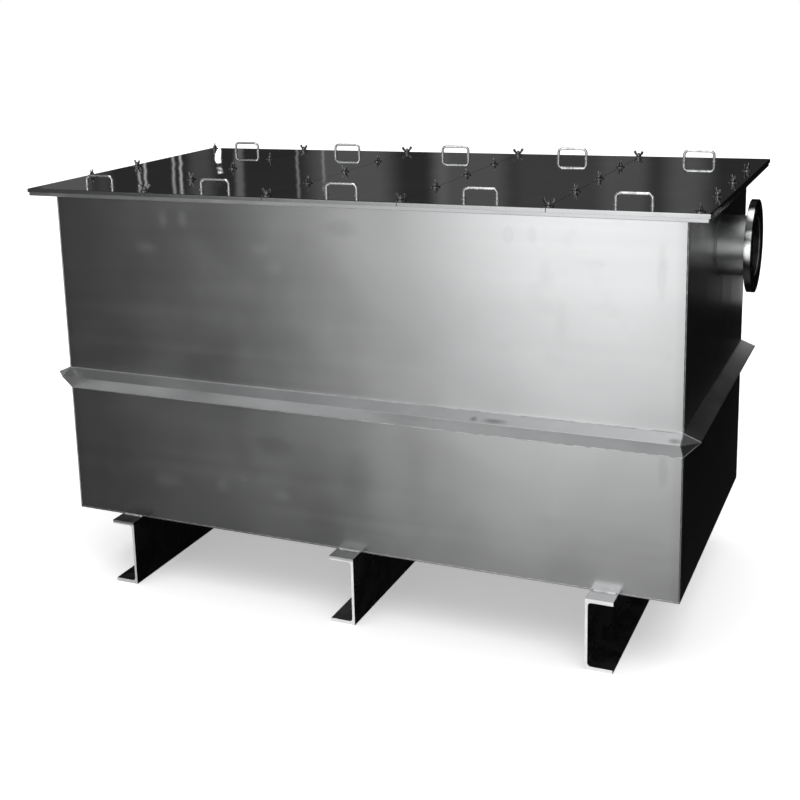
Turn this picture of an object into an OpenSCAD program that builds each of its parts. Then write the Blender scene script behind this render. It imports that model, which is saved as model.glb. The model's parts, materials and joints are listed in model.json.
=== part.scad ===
// Three-chamber petrol interceptor: a welded stainless tank on three channels, with bolted covers.
// Lengths are in millimetres. The origin is on the ground under the middle of the tank, +Z is up,
// the inlet end is at -X, the outlet end at +X and the front at -Y.

/* [Tank] */
// Length of the tank body
tank_length = 2500; // [2000:50:4000]
// Width of the tank body
tank_width = 1280; // [1000:20:2000]
// Height from the underside of the base plate to the top of the covers
tank_height = 1370; // [1200:10:2000]
// Thickness of the side and end walls
wall_t = 4; // [3:1:8]
// Thickness of the base plate
base_t = 5; // [4:1:12]

/* [Rim] */
// Thickness of the folded rim flange
rim_t = 4; // [3:1:6]
// Depth of the rim's turned-down lip
rim_lip = 23; // [15:1:50]
// Inside radius of the rim's fold
rim_fold_r = 4; // [2:1:8]
// Thickness of the gasket between rim and covers
gasket_t = 3; // [2:1:8]
// Width of the gasket on the rim
gasket_w = 62; // [55:1:68]

/* [Covers] */
// Number of covers along the tank
cover_count = 5; // [3:1:7]
// Thickness of the cover plates
cover_t = 3; // [2:1:6]
// How far the covers reach out past the tank walls
cover_overhang = 80; // [76:1:120]
// Depth of the covers' turned-down edges
cover_edge = 15; // [10:1:22]
// Inside radius of the covers' folds
cover_fold_r = 1; // [1:1:3]
// Gap between two covers
cover_gap = 2; // [1:1:5]
// Gap between the covers' turned-down edges and the rim's lip
edge_clearance = 1.5; // [0.5:0.5:3]

/* [Cover bearers] */
// Width of the folded channel under each cover joint
bearer_w = 60; // [50:1:100]
// Depth of the folded channel
bearer_h = 40; // [25:1:60]
// Thickness of the folded channel
bearer_t = 4; // [3:1:6]

/* [Handles] */
// Width over the legs of a bow handle
handle_w = 132; // [100:1:200]
// Height of a bow handle over its cover
handle_h = 46; // [40:1:80]
// Diameter of the handle bar
handle_d = 11; // [8:1:14]
// Radius of the handle's bends on the bar's axis
handle_bend_r = 17; // [12:1:22]
// Distance of a handle from the outer edge of its cover
handle_inset = 120; // [100:5:300]

/* [Cover fasteners] */
// Number of studs across the tank in each row
studs_across = 5; // [3:1:7]
// Diameter of the cover studs
stud_d = 10; // [8:1:12]
// Distance of the rim studs from the tank wall
stud_out = 40; // [34:1:44]
// Extra diameter of the stud holes
stud_clearance = 2; // [1:0.5:4]
// How far a stud stands out of its wing nut
stud_spare = 4; // [0:1:10]
// Outside diameter of the washers
washer_d = 36; // [34:1:40]
// Thickness of the washers
washer_t = 3; // [2:0.5:4]
// Extra diameter of the washers' holes
washer_clearance = 1; // [0.5:0.5:3]
// Height of the hub of a wing nut
hub_h = 12; // [9:1:15]
// Diameter of the hub at its foot
hub_d = 20; // [18:1:24]
// Diameter of the hub at its top
hub_top_d = 17; // [15:1:18]
// Extra diameter of the wing nuts' bores
nut_clearance = 0.3; // [0.1:0.1:1]
// Span over the wings of a wing nut
wing_span = 51; // [45:1:60]
// Height over the wings of a wing nut
wing_h = 25; // [22:1:32]
// Thickness of the wings
wing_t = 4.5; // [3:0.5:6]
// Radius of the wing tips
wing_tip_r = 6.5; // [5:0.5:8]

/* [Stiffener] */
// How far the folded stiffener stands out of the tank walls
stiffener_out = 58; // [40:1:75]
// Height of its upper edge over its fold
stiffener_up = 23; // [15:1:60]
// Depth of its lower edge under its fold
stiffener_down = 62; // [30:1:90]
// Thickness of its sheet
stiffener_t = 5; // [3:1:6]
// Height of its fold over the underside of the base plate
stiffener_z = 592; // [200:1:800]

/* [Feet] */
// Height of the channels
foot_h = 270; // [150:10:350]
// Width of the channels' flanges
foot_w = 100; // [70:5:130]
// Thickness of the channels' webs
foot_web_t = 10; // [6:1:14]
// Thickness of the channels' flanges
foot_flange_t = 14; // [8:1:20]
// Radius of the channels' roots
foot_root_r = 13; // [6:1:20]
// Length of the channels across the tank
foot_length = 1424; // [1000:4:2100]
// Distance of the outer channels' webs from the ends of the tank
foot_inset = 311; // [150:1:500]

/* [Pipe ends] */
// Outside diameter of the inlet and outlet pipes
pipe_od = 219.1; // [168.3:0.1:219.1]
// Wall thickness of the pipes
pipe_t = 4; // [3:0.5:6]
// Depth of the pipe ends' axis under the top of the covers
pipe_drop = 230; // [200:5:300]
// Distance of the flange faces from the end walls
flange_reach = 130; // [80:5:250]
// Outside diameter of the flanges
flange_od = 340; // [340:5:360]
// Thickness of the flanges
flange_t = 24; // [18:1:32]
// Diameter of the flanges' bolt circle
bolt_circle = 295; // [290:1:300]
// Number of bolt holes in a flange
bolt_count = 8; // [4:4:12]
// Diameter of the bolt holes
bolt_hole_d = 22; // [18:1:24]
// Depth of the welded joint between the pipe end and the flange face
flange_weld = 6; // [3:1:10]
// Radial clearance round a pipe where it passes through a plate
pipe_fit = 0.3; // [0.3:0.1:1]

/* [Chambers] */
// Thickness of the partitions
partition_t = 4; // [3:1:6]
// Distance of the partitions' top edge from the top of the covers
partition_drop = 130; // [100:5:180]
// Outside diameter of the transfer pipes
transfer_od = 168.3; // [114.3:0.1:168.3]
// Depth of the transfer pipes' axis under the top of the covers
transfer_drop = 330; // [300:5:450]
// How far the pipes' branches reach past their plate inside the tank
branch_reach = 60; // [20:5:120]
// Length of a tee's branch from its upright's wall
branch_l = 50; // [30:5:120]
// Height of the lower mouths of the tees over the base plate
mouth_z = 300; // [150:10:500]
// How far the tees' uprights rise over their branches
upright_rise = 60; // [20:5:80]

/* [Hidden] */
$fn = 64;
// How far a cutting body reaches past the face that it cuts
overrun = 1;
hx = tank_length / 2;
hy = tank_width / 2;
floor_z = foot_h + base_t;
cover_top = foot_h + tank_height;
cover_under = cover_top - cover_t;
rim_top = cover_under - gasket_t;
wall_top = rim_top - rim_t;
lip_out = cover_overhang - cover_t - edge_clearance;
pipe_z = cover_top - pipe_drop;
transfer_z = cover_top - transfer_drop;
partition_count = 2;
chamber_l = tank_length / (partition_count + 1);
cover_l = (tank_length + 2 * cover_overhang) / cover_count;

INLET = -1;
OUTLET = 1;
REAR_SIDE = 0;
OUTLET_SIDE = 1;
FRONT_SIDE = 2;
INLET_SIDE = 3;

function side_run(side) = side % 2 == 0 ? tank_length : tank_width;
function joint_x(i) = -hx - cover_overhang + i * cover_l;
function partition_x(i) = -hx + i * chamber_l;
stud_xs = [-hx - stud_out, for (i = [1:cover_count - 1]) joint_x(i), hx + stud_out];
stud_ys = [for (i = [0:studs_across - 1]) (hy + stud_out) * (2 * i / (studs_across - 1) - 1)];

// How far round each wing nut was left: rows from the inlet end, in a row from the front.
NO_NUT = -1;
NUT_TURNS = [
    [NO_NUT, 115, 152, NO_NUT, 118],
    [25, 145, 112, 121, 157],
    [157, 110, 145, 108, 46],
    [156, 115, 119, 113, 42],
    [166, 120, 117, 88, 153],
    [100, 118, 114, 77, NO_NUT]
];
function nut_turn(row, i) = NUT_TURNS[row % len(NUT_TURNS)][i % len(NUT_TURNS[0])];

COVERS = [for (i = [1:cover_count]) str("cover_", i)];
FRONT_HANDLES = [for (i = [1:cover_count]) str("handle_front_", i)];
REAR_HANDLES = [for (i = [1:cover_count]) str("handle_rear_", i)];
BEARERS = [for (i = [1:cover_count - 1]) str("cover_bearer_", i)];
PARTITIONS = [for (i = [1:partition_count]) str("partition_", i)];
TRANSFER_TEES = [for (i = [1:partition_count]) str("transfer_tee_", i)];

STEEL = [0.62, 0.63, 0.64];
POLISHED = [0.30, 0.31, 0.32];
BAR = [0.82, 0.83, 0.84];
RUBBER = [0.08, 0.08, 0.08];

// Sheet turned down through a right angle at its outer edge: x is outwards, y is up.
module folded_edge(inner, outer, top, t, drop, fold_r) {
    bend_r = fold_r + t;
    translate([inner, top - t])
        square([outer - bend_r - inner, t]);
    translate([outer - t, top - drop])
        square([t, drop - bend_r]);
    intersection() {
        translate([outer - bend_r, top - bend_r])
            difference() {
                circle(bend_r);
                circle(fold_r);
            }
        translate([outer - bend_r, top - bend_r])
            square(bend_r);
    }
}

// Puts a bar that runs along +X, with its outside towards +Y, on one side of the tank.
module on_side(side) {
    corner = [[-hx, hy], [hx, hy], [hx, -hy], [-hx, -hy]][side];
    translate(corner)
        rotate(-90 * side)
            children();
}

// Extrudes a profile (x outwards from the tank wall, y up) along one side, mitred at both corners.
module mitred_bar(side, inner, outer) {
    run = side_run(side);
    on_side(side)
        intersection() {
            translate([-outer, 0, 0])
                rotate([90, 0, 90])
                    linear_extrude(run + 2 * outer)
                        children();
            linear_extrude(cover_top + overrun)
                polygon([[-inner, inner], [run + inner, inner], [run + outer, outer], [-outer, outer]]);
        }
}

module stud_row(row) {
    for (i = [0:studs_across - 1])
        if (nut_turn(row, i) != NO_NUT)
            translate([stud_xs[row], stud_ys[i], 0])
                rotate(nut_turn(row, i))
                    children();
}

module stud_grid() {
    for (row = [0:len(stud_xs) - 1])
        stud_row(row)
            children();
}

module base_plate() {
    color(STEEL)
        translate([-hx, -hy, foot_h])
            cube([tank_length, tank_width, base_t]);
}

module side_wall(side) {
    color(STEEL)
        on_side(side)
            translate([0, -wall_t, floor_z])
                cube([tank_length, wall_t, wall_top - floor_z]);
}

module end_wall(end) {
    color(STEEL)
        difference() {
            translate([end * (hx - wall_t / 2), 0, (floor_z + wall_top) / 2])
                cube([wall_t, tank_width - 2 * wall_t, wall_top - floor_z], center = true);
            translate([end * hx, 0, pipe_z])
                rotate([0, 90, 0])
                    cylinder(h = 4 * wall_t, d = pipe_od + 2 * pipe_fit, center = true);
        }
}

module rim(side) {
    color(STEEL)
        mitred_bar(side, -wall_t, lip_out)
            folded_edge(-wall_t, lip_out, rim_top, rim_t, rim_lip, rim_fold_r);
}

// Sheet folded along its middle, with both edges on the wall: x is outwards, y is up from the fold.
module stiffener_profile(out) {
    upper_t = stiffener_t * sqrt(1 + pow(stiffener_up / out, 2));
    lower_t = stiffener_t * sqrt(1 + pow(stiffener_down / out, 2));
    hollow = out * (1 - (upper_t + lower_t) / (stiffener_up + stiffener_down));
    difference() {
        polygon([[0, -stiffener_down], [out, 0], [0, stiffener_up]]);
        polygon([
            [0, lower_t - stiffener_down],
            [hollow, stiffener_up - upper_t - hollow * stiffener_up / out],
            [0, stiffener_up - upper_t]
        ]);
    }
}

// Short folded piece set across the tank's corner at the origin, between two square-cut stiffeners.
module stiffener_corner() {
    intersection() {
        rotate(45)
            rotate([90, 0, 90])
                linear_extrude(2 * stiffener_out, center = true)
                    stiffener_profile(stiffener_out * sqrt(0.5));
        translate([0, 0, -stiffener_down])
            linear_extrude(stiffener_down + stiffener_up)
                polygon([[0, 0], [0, stiffener_out], [-stiffener_out, 0]]);
    }
}

// The end stiffeners carry the corner pieces.
module stiffener(side) {
    run = side_run(side);
    color(STEEL)
        translate([0, 0, foot_h + stiffener_z])
            on_side(side) {
                rotate([90, 0, 90])
                    linear_extrude(run)
                        stiffener_profile(stiffener_out);
                if (side == INLET_SIDE || side == OUTLET_SIDE) {
                    stiffener_corner();
                    translate([run, 0, 0])
                        mirror([1, 0, 0])
                            stiffener_corner();
                }
            }
}

// Channel across the tank: its web's outer face is at x = 0 and its flanges point towards +X.
module foot_channel() {
    hollow_h = foot_h - 2 * foot_flange_t;
    translate([0, foot_length / 2, 0])
        rotate([90, 0, 0])
            linear_extrude(foot_length)
                difference() {
                    square([foot_w, foot_h]);
                    difference() {
                        translate([foot_web_t, foot_flange_t])
                            square([foot_w, hollow_h]);
                        translate([foot_web_t, foot_flange_t])
                            root_fillet();
                        translate([foot_web_t, foot_h - foot_flange_t])
                            mirror([0, 1])
                                root_fillet();
                    }
                }
}

module root_fillet() {
    difference() {
        square(foot_root_r);
        translate([foot_root_r, foot_root_r])
            circle(foot_root_r);
    }
}

module foot_inlet_end() {
    color(STEEL)
        translate([-hx + foot_inset, 0, 0])
            mirror([1, 0, 0])
                foot_channel();
}

module foot_middle() {
    color(STEEL)
        translate([foot_w / 2, 0, 0])
            mirror([1, 0, 0])
                foot_channel();
}

module foot_outlet_end() {
    color(STEEL)
        translate([hx - foot_inset, 0, 0])
            foot_channel();
}

// Tube along +X from x0 to x1.
module tube(x0, x1, od) {
    translate([x0, 0, 0])
        rotate([0, 90, 0])
            difference() {
                cylinder(h = x1 - x0, d = od);
                translate([0, 0, -overrun])
                    cylinder(h = x1 - x0 + 2 * overrun, d = od - 2 * pipe_t);
            }
}

module pipe_stub(end) {
    inside = hx - wall_t - branch_reach;
    color(STEEL)
        translate([0, 0, pipe_z])
            rotate(end == INLET ? 180 : 0)
                tube(inside, hx + flange_reach - flange_weld, pipe_od);
}

module pipe_flange(end) {
    color(STEEL)
        translate([end * (hx + flange_reach - flange_t / 2), 0, pipe_z])
            rotate([0, 90, 0])
                difference() {
                    cylinder(h = flange_t, d = flange_od, center = true);
                    cylinder(h = 2 * flange_t, d = pipe_od + 2 * pipe_fit, center = true);
                    for (i = [0:bolt_count - 1])
                        rotate((i + 0.5) * 360 / bolt_count)
                            translate([bolt_circle / 2, 0, 0])
                                cylinder(h = 2 * flange_t, d = bolt_hole_d, center = true);
                }
}

// Upright tube, open at both ends, with a branch towards +X whose end is at x = 0.
module tee(od, axis_z, branch) {
    upright_x = -branch - od / 2;
    low = floor_z + mouth_z;
    high = axis_z + od / 2 + upright_rise;
    bore_d = od - 2 * pipe_t;
    difference() {
        union() {
            translate([upright_x, 0, low])
                cylinder(h = high - low, d = od);
            translate([upright_x, 0, axis_z])
                rotate([0, 90, 0])
                    cylinder(h = -upright_x, d = od);
        }
        translate([upright_x, 0, low - overrun])
            cylinder(h = high - low + 2 * overrun, d = bore_d);
        translate([upright_x, 0, axis_z])
            rotate([0, 90, 0])
                cylinder(h = overrun - upright_x, d = bore_d);
    }
}

module end_tee(end) {
    color(STEEL)
        rotate(end == INLET ? 180 : 0)
            translate([hx - wall_t - branch_reach, 0, 0])
                tee(pipe_od, pipe_z, branch_l);
}

module partition(i) {
    color(STEEL)
        difference() {
            translate([partition_x(i) - partition_t / 2, -hy + wall_t, floor_z])
                cube([partition_t, tank_width - 2 * wall_t, cover_top - partition_drop - floor_z]);
            translate([partition_x(i), 0, transfer_z])
                rotate([0, 90, 0])
                    cylinder(h = 4 * partition_t, d = transfer_od + 2 * pipe_fit, center = true);
        }
}

module transfer_tee(i) {
    color(STEEL)
        translate([partition_x(i) + branch_reach, 0, 0])
            tee(transfer_od, transfer_z, branch_reach + partition_t / 2 + branch_l);
}

module cover_bearer(i) {
    color(STEEL)
        translate([joint_x(i), hy - wall_t, 0])
            rotate([90, 0, 0])
                linear_extrude(tank_width - 2 * wall_t)
                    for (half = [0, 1])
                        mirror([half, 0])
                            folded_edge(0, bearer_w / 2, rim_top, bearer_t, bearer_h, bearer_t);
}

module cover_gasket() {
    reach = gasket_w - wall_t;
    color(RUBBER)
        translate([0, 0, rim_top])
            linear_extrude(gasket_t)
                difference() {
                    square([tank_length + 2 * reach, tank_width + 2 * reach], center = true);
                    difference() {
                        square([tank_length - 2 * wall_t, tank_width - 2 * wall_t], center = true);
                        for (i = [1:cover_count - 1])
                            translate([joint_x(i), 0])
                                square([bearer_w, tank_width], center = true);
                    }
                    stud_grid()
                        circle(d = stud_d + stud_clearance);
                }
}

// The lid as one folded sheet, which the joints between the covers divide.
module lid() {
    for (side = [REAR_SIDE, OUTLET_SIDE, FRONT_SIDE, INLET_SIDE])
        mitred_bar(side, 0, cover_overhang)
            folded_edge(0, cover_overhang, cover_top, cover_t, cover_edge, cover_fold_r);
    translate([-hx, -hy, cover_under])
        cube([tank_length, tank_width, cover_t]);
}

module cover(i) {
    near_gap = i == 1 ? 0 : cover_gap / 2;
    far_gap = i == cover_count ? 0 : cover_gap / 2;
    color(POLISHED)
        difference() {
            intersection() {
                lid();
                translate([joint_x(i - 1) + near_gap, -hy - cover_overhang, 0])
                    cube([cover_l - near_gap - far_gap, tank_width + 2 * cover_overhang, cover_top]);
            }
            for (row = [i - 1, i])
                stud_row(row)
                    translate([0, 0, cover_under - overrun])
                        cylinder(h = cover_t + 2 * overrun, d = stud_d + stud_clearance);
        }
}

module bow_handle() {
    axis_x = (handle_w - handle_d) / 2;
    bend_z = handle_h - handle_d / 2 - handle_bend_r;
    for (half = [0, 1])
        mirror([half, 0, 0]) {
            translate([axis_x, 0, 0])
                cylinder(h = bend_z, d = handle_d);
            translate([axis_x - handle_bend_r, 0, bend_z])
                rotate([90, 0, 0])
                    rotate_extrude(angle = 90)
                        translate([handle_bend_r, 0])
                            circle(d = handle_d);
        }
    translate([0, 0, bend_z + handle_bend_r])
        rotate([0, 90, 0])
            cylinder(h = 2 * (axis_x - handle_bend_r), d = handle_d, center = true);
}

module handle(i, side) {
    handle_y = hy + cover_overhang - handle_inset;
    color(BAR)
        translate([joint_x(i) - cover_l / 2, side == REAR_SIDE ? handle_y : -handle_y, cover_top])
            bow_handle();
}

module cover_studs() {
    stud_h = gasket_t + cover_t + washer_t + hub_h + stud_spare;
    color(BAR)
        stud_grid()
            translate([0, 0, rim_top])
                cylinder(h = stud_h, d = stud_d);
}

module cover_washers() {
    color(BAR)
        stud_grid()
            translate([0, 0, cover_top])
                difference() {
                    cylinder(h = washer_t, d = washer_d);
                    translate([0, 0, -overrun])
                        cylinder(h = washer_t + 2 * overrun, d = stud_d + washer_clearance);
                }
}

// One wing: a rounded lobe joined to the hub by the lines that touch both rounds.
module wing_outline() {
    root_r = hub_h / 2;
    root = [hub_d / 4, root_r];
    tip = [wing_span / 2 - wing_tip_r, wing_h - wing_tip_r];
    slope = atan2(tip.y - root.y, tip.x - root.x);
    spread = acos((root_r - wing_tip_r) / norm(tip - root));
    translate(root)
        circle(root_r);
    translate(tip)
        circle(wing_tip_r);
    polygon([
        root + root_r * [cos(slope + spread), sin(slope + spread)],
        root + root_r * [cos(slope - spread), sin(slope - spread)],
        tip + wing_tip_r * [cos(slope - spread), sin(slope - spread)],
        tip + wing_tip_r * [cos(slope + spread), sin(slope + spread)]
    ]);
}

module wing_nut() {
    difference() {
        union() {
            cylinder(h = hub_h, d1 = hub_d, d2 = hub_top_d);
            for (half = [0, 1])
                mirror([half, 0, 0])
                    translate([0, wing_t / 2, 0])
                        rotate([90, 0, 0])
                            linear_extrude(wing_t)
                                wing_outline();
        }
        translate([0, 0, -overrun])
            cylinder(h = wing_h + 2 * overrun, d = stud_d + nut_clearance);
    }
}

module wing_nuts() {
    color(BAR)
        stud_grid()
            translate([0, 0, cover_top + washer_t])
                wing_nut();
}

base_plate();
side_wall(FRONT_SIDE);  // front_wall
side_wall(REAR_SIDE);  // rear_wall
end_wall(INLET);  // inlet_end_wall
end_wall(OUTLET);  // outlet_end_wall
rim(FRONT_SIDE);  // rim_front
rim(REAR_SIDE);  // rim_rear
rim(INLET_SIDE);  // rim_inlet_end
rim(OUTLET_SIDE);  // rim_outlet_end
stiffener(FRONT_SIDE);  // stiffener_front
stiffener(REAR_SIDE);  // stiffener_rear
stiffener(INLET_SIDE);  // stiffener_inlet_end
stiffener(OUTLET_SIDE);  // stiffener_outlet_end
foot_inlet_end();
foot_middle();
foot_outlet_end();
pipe_stub(INLET);  // inlet_stub
pipe_flange(INLET);  // inlet_flange
end_tee(INLET);  // inlet_dip_tee
pipe_stub(OUTLET);  // outlet_stub
pipe_flange(OUTLET);  // outlet_flange
end_tee(OUTLET);  // outlet_dip_tee
cover_gasket();
cover_studs();
cover_washers();
wing_nuts();
for (i = [1:partition_count]) {
    partition(i);
    transfer_tee(i);
}
for (i = [1:cover_count - 1])
    cover_bearer(i);
for (i = [1:cover_count]) {
    cover(i);
    handle(i, FRONT_SIDE);
    handle(i, REAR_SIDE);
}
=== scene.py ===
"""Finish for a packed petrol interceptor: brushed stainless sheet, weld beads, fasteners and a studio."""

import json
from math import cos, pi, radians, sin, tau

import bmesh
import bpy
import numpy as np
from bpy.props import FloatProperty, FloatVectorProperty, IntProperty, PointerProperty
from mathutils import Euler, Matrix, Vector


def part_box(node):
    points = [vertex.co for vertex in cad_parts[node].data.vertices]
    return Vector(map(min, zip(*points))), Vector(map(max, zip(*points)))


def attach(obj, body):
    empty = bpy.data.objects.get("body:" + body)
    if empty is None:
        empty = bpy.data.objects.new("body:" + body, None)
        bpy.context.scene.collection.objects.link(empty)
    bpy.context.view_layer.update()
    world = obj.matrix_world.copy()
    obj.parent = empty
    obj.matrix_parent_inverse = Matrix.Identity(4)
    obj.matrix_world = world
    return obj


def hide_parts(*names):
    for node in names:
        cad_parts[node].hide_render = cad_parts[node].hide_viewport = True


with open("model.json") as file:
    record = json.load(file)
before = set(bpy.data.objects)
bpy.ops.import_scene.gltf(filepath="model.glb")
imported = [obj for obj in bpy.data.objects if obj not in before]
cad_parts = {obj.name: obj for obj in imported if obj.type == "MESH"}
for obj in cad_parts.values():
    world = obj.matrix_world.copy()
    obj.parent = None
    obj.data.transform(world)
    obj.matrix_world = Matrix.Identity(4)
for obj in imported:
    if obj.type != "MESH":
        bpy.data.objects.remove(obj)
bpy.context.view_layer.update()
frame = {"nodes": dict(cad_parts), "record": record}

bl_info = {
    "name": "Petrol interceptor finish",
    "version": (1, 0, 0),
    "blender": (4, 5, 0),
    "location": "View3D > Sidebar > Interceptor",
    "description": "Gives a petrol interceptor its stainless finish, welds, fasteners and studio",
    "category": "Object",
}

BODY = "root"
ORIGIN = (0, 0, 0)
FEET = ("foot_inlet_end", "foot_middle", "foot_outlet_end")
# Wiped patches on the front sheet: x, z, half width, half height in metres, and how much lighter or darker.
FRONT_MARKS = (
    (-0.752, 1.527, 0.026, 0.042, 1.65),
    (-0.661, 1.531, 0.026, 0.042, 1.65),
    (-0.842, 1.412, 0.06, 0.03, 1.35),
    (-0.327, 1.426, 0.055, 0.03, 0.75),
    (-0.267, 1.361, 0.04, 0.035, 0.6),
    (-0.81, 0.448, 0.07, 0.042, 1.2),
    (-0.55, 0.461, 0.036, 0.04, 1.05),
    (-0.281, 0.452, 0.042, 0.032, 0.9),
    (0.008, 1.525, 0.085, 0.036, -1.2),
    (0.643, 1.529, 0.02, 0.034, -1.2),
    (0.728, 1.532, 0.02, 0.034, -1.05),
    (0.774, 1.403, 0.035, 0.05, -0.52),
    (0.834, 1.233, 0.03, 0.08, -0.45),
    (1.167, 1.427, 0.02, 0.11, -1.05),
    (-0.301, 0.659, 0.085, 0.055, -0.9),
    (1.184, 0.749, 0.02, 0.07, -1.05),
    (0.8, 0.501, 0.09, 0.03, -0.38),
    (0.04, 0.56, 0.08, 0.2, -0.68),
)
# Dressed joint welds on the front stiffener, left darker: where each starts and ends along the tank.
JOINT_SCARS = ((0.516, 0.538), (0.569, 0.638), (1.208, 1.246))
# Painted highlights on the flange's rim, bright spots of colour: distance in front of the pipe's axis,
# height over it, half size.
FLANGE_HIGHLIGHTS = ((0.101, 0.137, 0.032), (0.156, 0.068, 0.016), (0.17, 0.009, 0.05))
# Studio reflections, in degrees: azimuth from the front towards +X, elevation, half width, half height
# and soft edge. The last value is the strength.
SOFTBOXES = (
    (7.2, 4.2, 25.4, 24.6, 7, 0.82),
    (-15.6, 12.5, 4, 27.9, 15.2, 2.59),
    (-55.8, -8.7, 24.7, 32.3, 11, 0.055),
    (0, 80, 180, 9, 5, 1.6),
    (0, 62, 34, 16, 16, 1.8),
    (-40, 56, 20, 14, 14, 0.5),
    (78, 18, 15, 26, 8, 0.45),
    (-105, 20, 17, 24, 9, 0.7),
    (178, 42, 26, 10, 8, 0.14),
    (0, -68, 180, 20, 14, 0.03),
    (-40, -70, 60, 20, 12, 0.9),
    (-138, -22, 24, 14, 12, 0.1),
)
# Dim uprights and lamps far behind the tank, which the polished covers show: same six values.
REAR_LAMPS = (
    (-157, 9, 26, 5, 6, 0.03),
    (-142.4, 9, 1.1, 5, 0.3, 0.09),
    (-144.1, 9, 0.3, 5, 0.3, 0.03),
    (-148.4, 9, 0.5, 5, 0.3, 0.045),
    (-155.1, 9, 1.8, 5, 0.7, 0.072),
    (-159.1, 9, 0.3, 5, 0.3, 0.03),
    (-160.4, 9, 1.6, 5, 0.5, 0.066),
    (-164.3, 9, 2, 5, 0.6, 0.03),
    (-167.2, 9, 1, 5, 0.5, 0.062),
    (-169.8, 9, 0.9, 5, 0.7, 0.068),
    (-145.67, 7, 0.04, 2.2, 0.04, 0.5),
    (-145.93, 7, 0.04, 2.2, 0.04, 0.55),
    (-147.18, 6.6, 0.04, 1.8, 0.05, 0.45),
    (-147.5, 6.6, 0.04, 1.8, 0.04, 0.6),
    (-149.18, 5.6, 0.1, 1.1, 0.04, 4),
    (-150.1, 7, 0.18, 3, 0.12, 0.11),
    (-152.7, 6.6, 0.04, 2, 0.05, 0.25),
    (-153.85, 6.4, 0.04, 1.6, 0.05, 0.2),
)

# Height of the dark joint marks over the ground, just over the fold.
JOINT_SCAR_HEIGHT = 0.869
# Distances from the pipe's axis that lie between the bore and the outside, in the pipe and in the flange.
PIPE_BORE_LIMIT = 0.1075
FLANGE_BORE_LIMIT = 0.1106

MERGE_DISTANCE = 1e-6
# Weld beads: number of sides, share of the radius in a ripple, and lift of a fillet off its edge.
BEAD_SIDES = 8
RIPPLE_SHARE = 0.09
BEAD_LIFT = 0.0006
# How far the beads lie inside the tank's corners, and outside them at the rim.
CORNER_SEAM_INSET = 0.0025
BASE_SEAM_INSET = 0.0018
RIM_SEAM_INSET = -0.0005
STIFFENER_SEAM_INSET = 0.0004
# Short beads at the folded corners of covers and rim: radius, inset, lift, and the length on each.
FOLD_BEAD_RADIUS = 0.0024
FOLD_BEAD_INSET = 0.0022
FOLD_BEAD_LIFT = 0.0003
FOLD_BEADS = (("cover_5", 0.0112), ("rim_outlet_end", 0.013))
# Stitch welds under the base plate, on each side of a channel.
STITCH_COUNT = 6
STITCH_MARGIN = 0.03
MOUTH_BEAD_RADIUS = 0.003
HANDLE_BEAD_RADIUS = 0.0026
HANDLE_BEAD_RIPPLE = 0.0045

# Plan distances within which points belong to one washer, and to one wing nut.
WASHER_REACH = 0.05
WING_REACH = 0.045

WING_SPAN = 0.051
WING_TIP_RADIUS = 0.0065
HUB_RADIUS = 0.01
HUB_HEIGHT = 0.012
NUT_BORE_RADIUS = 0.00515
STUD_RADIUS = 0.005

FLOOR_HALF_SIZE = 60.0
WHITE = (1.0, 1.0, 1.0, 1.0)
OVERHEAD_ANGLE = 75.0
OVERHEAD_TILT = (8.0, 6.0)
REAR_LIGHT_PLACE = (1.31, 1.12, 0.99)
REAR_LIGHT_SIZE = 0.12
SENSOR_WIDTH = 36.0
VIEW_DISTANCE = 200.0
LENS_SHIFT = (0.07066, -0.14572)
CAMERA_PLACE = (1.98222, -4.78068, 2.31775)
# Degrees: how far the camera looks down, how far it is turned to the left, and its roll.
CAMERA_DIP = 12.285
CAMERA_TURN = 25.413
CAMERA_ROLL = -1.8909


def colour_setting(name, description, default):
    """Returns a setting for a colour."""
    return FloatVectorProperty(
        name=name, description=description, subtype="COLOR", min=0.0, max=1.0, default=default
    )


def share_setting(name, description, default):
    """Returns a setting between 0 and 1."""
    return FloatProperty(
        name=name, description=description, subtype="FACTOR", min=0.0, max=1.0, default=default
    )


def length_setting(name, description, least, default):
    """Returns a setting in metres."""
    return FloatProperty(name=name, description=description, unit="LENGTH", min=least, default=default)


def strength_setting(name, description, default):
    """Returns a setting for a strength, from 0 upwards."""
    return FloatProperty(name=name, description=description, min=0.0, default=default)


class TankFinish(bpy.types.PropertyGroup):
    """Colours and roughness of the stainless surfaces."""

    sheet_colour: colour_setting("Sheet colour", "Colour of the brushed tank sheet", (0.62, 0.625, 0.63))
    cover_colour: colour_setting("Cover colour", "Colour of the polished cover plates", (0.50, 0.505, 0.51))
    bar_colour: colour_setting("Bar colour", "Colour of the bow handles", (0.88, 0.885, 0.89))
    fastener_colour: colour_setting(
        "Fastener colour", "Colour of the wing nuts, washers and studs", (0.27, 0.27, 0.275)
    )
    gasket_colour: colour_setting(
        "Gasket colour", "Colour of the rubber under the covers", (0.025, 0.025, 0.026)
    )
    sheet_roughness: share_setting("Sheet roughness", "Roughness of the clean tank sheet", 0.24)
    cover_roughness: share_setting("Cover roughness", "Roughness of the polished covers", 0.02)
    grain_height: length_setting("Grain height", "Depth of the brushed grain", 0.0, 0.000012)


class WeldSizes(bpy.types.PropertyGroup):
    """Sizes of the weld beads."""

    seam_radius: length_setting("Seam radius", "Radius of the beads on the tank's corners", 0.001, 0.0034)
    fillet_radius: length_setting(
        "Fillet radius", "Radius of the fillet beads on stiffener, feet and pipes", 0.001, 0.0045
    )
    ripple: length_setting("Ripple pitch", "Distance between two ripples of a bead", 0.002, 0.008)
    stitch: length_setting("Stitch length", "Length of one stitch weld under the base plate", 0.02, 0.08)


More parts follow.
